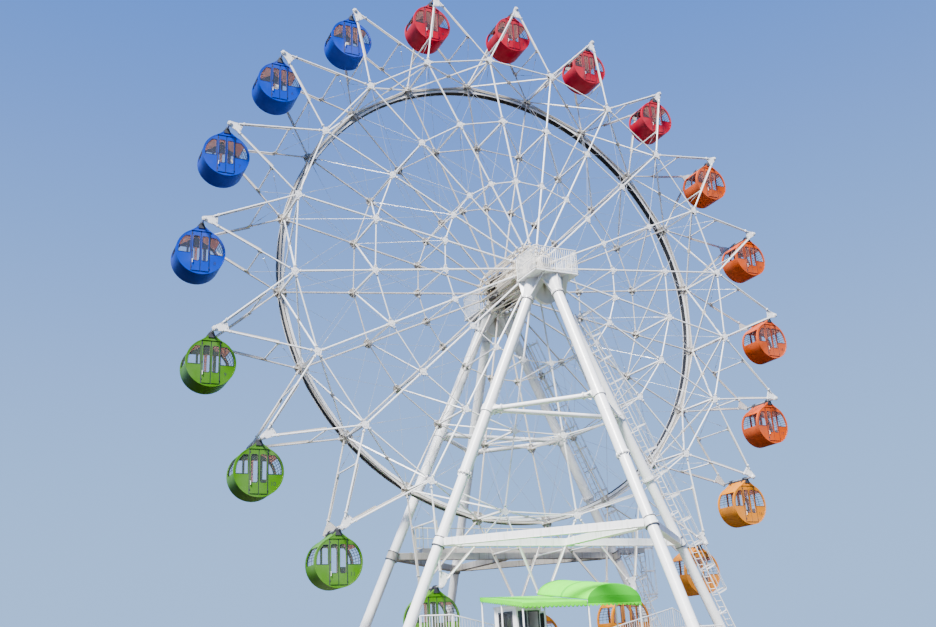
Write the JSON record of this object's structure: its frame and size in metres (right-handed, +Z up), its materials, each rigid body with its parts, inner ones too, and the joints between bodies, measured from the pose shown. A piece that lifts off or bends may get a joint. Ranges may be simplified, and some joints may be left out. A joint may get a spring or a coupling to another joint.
{
  "type": "ferris wheel",
  "caption": "Amusement ferris wheel with round coloured cabins hung between two white spoked faces, on six round legs, with a green-roofed boarding deck.",
  "frame": {"origin": "on the ground under the middle of the axle", "axes": "+X to the right seen from the boarding side, +Y along the axle away from the boarding side, +Z up"},
  "size_m": [33.7904, 24.4646, 35.4249],
  "materials": {
    "white_paint": "semi-gloss weathered white paint",
    "cabin_red": "gloss red paint",
    "cabin_orange": "gloss orange paint",
    "cabin_yellow": "gloss yellow paint",
    "cabin_green": "gloss lime green paint",
    "cabin_blue": "gloss blue paint",
    "canopy_fabric": "matte coated fabric",
    "machined_steel": "worn steel",
    "drive_steel": "dark worn paint",
    "deck_boards": "matte grey plate"
  },
  "bodies": {
    "support": {"beam_set_front": "white_paint", "beam_set_rear": "white_paint", "bearing_front": "machined_steel", "bearing_rear": "machined_steel", "boarding_deck": "deck_boards", "brace_set_front": "white_paint", "brace_set_rear": "white_paint", "canopy_flat": "canopy_fabric", "canopy_frame": "white_paint", "canopy_vault": "canopy_fabric", "deck_rail_left": "white_paint", "deck_rail_right": "white_paint", "deck_steps": "deck_boards", "ground_ladder": "white_paint", "hub_bracket_front": "white_paint", "hub_bracket_rear": "white_paint", "hub_platform_front": "white_paint", "hub_platform_rear": "white_paint", "leg_front_left": "white_paint", "leg_front_outer": "white_paint", "leg_front_right": "white_paint", "leg_ladder_front": "white_paint", "leg_ladder_rear": "white_paint", "leg_rear_left": "white_paint", "leg_rear_outer": "white_paint", "leg_rear_right": "white_paint", "operator_booth": "white_paint", "service_deck": "white_paint"},
    "wheel": {"drive_ring": "drive_steel", "hub_drum": "machined_steel", "main_axle": "machined_steel", "middle_cross_frame": "white_paint", "rim_cross_frame": "white_paint", "wheel_front_frame": "white_paint", "wheel_rear_frame": "white_paint"},
    "cabin_01_body": {"cabin_01": "cabin_red"},
    "cabin_02_body": {"cabin_02": "cabin_red"},
    "cabin_03_body": {"cabin_03": "cabin_red"},
    "cabin_04_body": {"cabin_04": "cabin_red"},
    "cabin_05_body": {"cabin_05": "cabin_orange"},
    "cabin_06_body": {"cabin_06": "cabin_orange"},
    "cabin_07_body": {"cabin_07": "cabin_orange"},
    "cabin_08_body": {"cabin_08": "cabin_orange"},
    "cabin_09_body": {"cabin_09": "cabin_yellow"},
    "cabin_10_body": {"cabin_10": "cabin_yellow"},
    "cabin_11_body": {"cabin_11": "cabin_yellow"},
    "cabin_12_body": {"cabin_12": "cabin_yellow"},
    "cabin_13_body": {"cabin_13": "cabin_green"},
    "cabin_14_body": {"cabin_14": "cabin_green"},
    "cabin_15_body": {"cabin_15": "cabin_green"},
    "cabin_16_body": {"cabin_16": "cabin_green"},
    "cabin_17_body": {"cabin_17": "cabin_blue"},
    "cabin_18_body": {"cabin_18": "cabin_blue"},
    "cabin_19_body": {"cabin_19": "cabin_blue"},
    "cabin_20_body": {"cabin_20": "cabin_blue"}
  },
  "joints": [
    {"name": "wheel_spin", "type": "hinge", "parent": "support", "child": "wheel", "pos_m": [0, 0, 19.4], "axis": [0, 1, 0], "continuous": true},
    {"name": "cabin_01_pin", "type": "hinge", "parent": "wheel", "child": "cabin_01_body", "pos_m": [-4.37693, 0, 34.64408], "axis": [0, 1, 0], "continuous": true},
    {"name": "cabin_02_pin", "type": "hinge", "parent": "wheel", "child": "cabin_02_body", "pos_m": [0.54797, 0, 35.25053], "axis": [0, 1, 0], "continuous": true},
    {"name": "cabin_03_pin", "type": "hinge", "parent": "wheel", "child": "cabin_03_body", "pos_m": [5.41924, 0, 34.30542], "axis": [0, 1, 0], "continuous": true},
    {"name": "cabin_04_pin", "type": "hinge", "parent": "wheel", "child": "cabin_04_body", "pos_m": [9.76003, 0, 31.90126], "axis": [0, 1, 0], "continuous": true},
    {"name": "cabin_05_pin", "type": "hinge", "parent": "wheel", "child": "cabin_05_body", "pos_m": [13.14544, 0, 28.27339], "axis": [0, 1, 0], "continuous": true},
    {"name": "cabin_06_pin", "type": "hinge", "parent": "wheel", "child": "cabin_06_body", "pos_m": [15.24408, 0, 23.77693], "axis": [0, 1, 0], "continuous": true},
    {"name": "cabin_07_pin", "type": "hinge", "parent": "wheel", "child": "cabin_07_body", "pos_m": [15.85053, 0, 18.85203], "axis": [0, 1, 0], "continuous": true},
    {"name": "cabin_08_pin", "type": "hinge", "parent": "wheel", "child": "cabin_08_body", "pos_m": [14.90542, 0, 13.98076], "axis": [0, 1, 0], "continuous": true},
    {"name": "cabin_09_pin", "type": "hinge", "parent": "wheel", "child": "cabin_09_body", "pos_m": [12.50126, 0, 9.63997], "axis": [0, 1, 0], "continuous": true},
    {"name": "cabin_10_pin", "type": "hinge", "parent": "wheel", "child": "cabin_10_body", "pos_m": [8.87339, 0, 6.25456], "axis": [0, 1, 0], "continuous": true},
    {"name": "cabin_11_pin", "type": "hinge", "parent": "wheel", "child": "cabin_11_body", "pos_m": [4.37693, 0, 4.15592], "axis": [0, 1, 0], "continuous": true},
    {"name": "cabin_12_pin", "type": "hinge", "parent": "wheel", "child": "cabin_12_body", "pos_m": [-0.54797, 0, 3.54947], "axis": [0, 1, 0], "continuous": true},
    {"name": "cabin_13_pin", "type": "hinge", "parent": "wheel", "child": "cabin_13_body", "pos_m": [-5.41924, 0, 4.49458], "axis": [0, 1, 0], "continuous": true},
    {"name": "cabin_14_pin", "type": "hinge", "parent": "wheel", "child": "cabin_14_body", "pos_m": [-9.76003, 0, 6.89874], "axis": [0, 1, 0], "continuous": true},
    {"name": "cabin_15_pin", "type": "hinge", "parent": "wheel", "child": "cabin_15_body", "pos_m": [-13.14544, 0, 10.52661], "axis": [0, 1, 0], "continuous": true},
    {"name": "cabin_16_pin", "type": "hinge", "parent": "wheel", "child": "cabin_16_body", "pos_m": [-15.24408, 0, 15.02307], "axis": [0, 1, 0], "continuous": true},
    {"name": "cabin_17_pin", "type": "hinge", "parent": "wheel", "child": "cabin_17_body", "pos_m": [-15.85053, 0, 19.94797], "axis": [0, 1, 0], "continuous": true},
    {"name": "cabin_18_pin", "type": "hinge", "parent": "wheel", "child": "cabin_18_body", "pos_m": [-14.90542, 0, 24.81924], "axis": [0, 1, 0], "continuous": true},
    {"name": "cabin_19_pin", "type": "hinge", "parent": "wheel", "child": "cabin_19_body", "pos_m": [-12.50126, 0, 29.16003], "axis": [0, 1, 0], "continuous": true},
    {"name": "cabin_20_pin", "type": "hinge", "parent": "wheel", "child": "cabin_20_body", "pos_m": [-8.87339, 0, 32.54544], "axis": [0, 1, 0], "continuous": true}
  ],
  "couplings": [
    {"joint": "cabin_01_pin", "follows": "wheel_spin", "ratio": -1},
    {"joint": "cabin_02_pin", "follows": "wheel_spin", "ratio": -1},
    {"joint": "cabin_03_pin", "follows": "wheel_spin", "ratio": -1},
    {"joint": "cabin_04_pin", "follows": "wheel_spin", "ratio": -1},
    {"joint": "cabin_05_pin", "follows": "wheel_spin", "ratio": -1},
    {"joint": "cabin_06_pin", "follows": "wheel_spin", "ratio": -1},
    {"joint": "cabin_07_pin", "follows": "wheel_spin", "ratio": -1},
    {"joint": "cabin_08_pin", "follows": "wheel_spin", "ratio": -1},
    {"joint": "cabin_09_pin", "follows": "wheel_spin", "ratio": -1},
    {"joint": "cabin_10_pin", "follows": "wheel_spin", "ratio": -1},
    {"joint": "cabin_11_pin", "follows": "wheel_spin", "ratio": -1},
    {"joint": "cabin_12_pin", "follows": "wheel_spin", "ratio": -1},
    {"joint": "cabin_13_pin", "follows": "wheel_spin", "ratio": -1},
    {"joint": "cabin_14_pin", "follows": "wheel_spin", "ratio": -1},
    {"joint": "cabin_15_pin", "follows": "wheel_spin", "ratio": -1},
    {"joint": "cabin_16_pin", "follows": "wheel_spin", "ratio": -1},
    {"joint": "cabin_17_pin", "follows": "wheel_spin", "ratio": -1},
    {"joint": "cabin_18_pin", "follows": "wheel_spin", "ratio": -1},
    {"joint": "cabin_19_pin", "follows": "wheel_spin", "ratio": -1},
    {"joint": "cabin_20_pin", "follows": "wheel_spin", "ratio": -1}
  ]
}
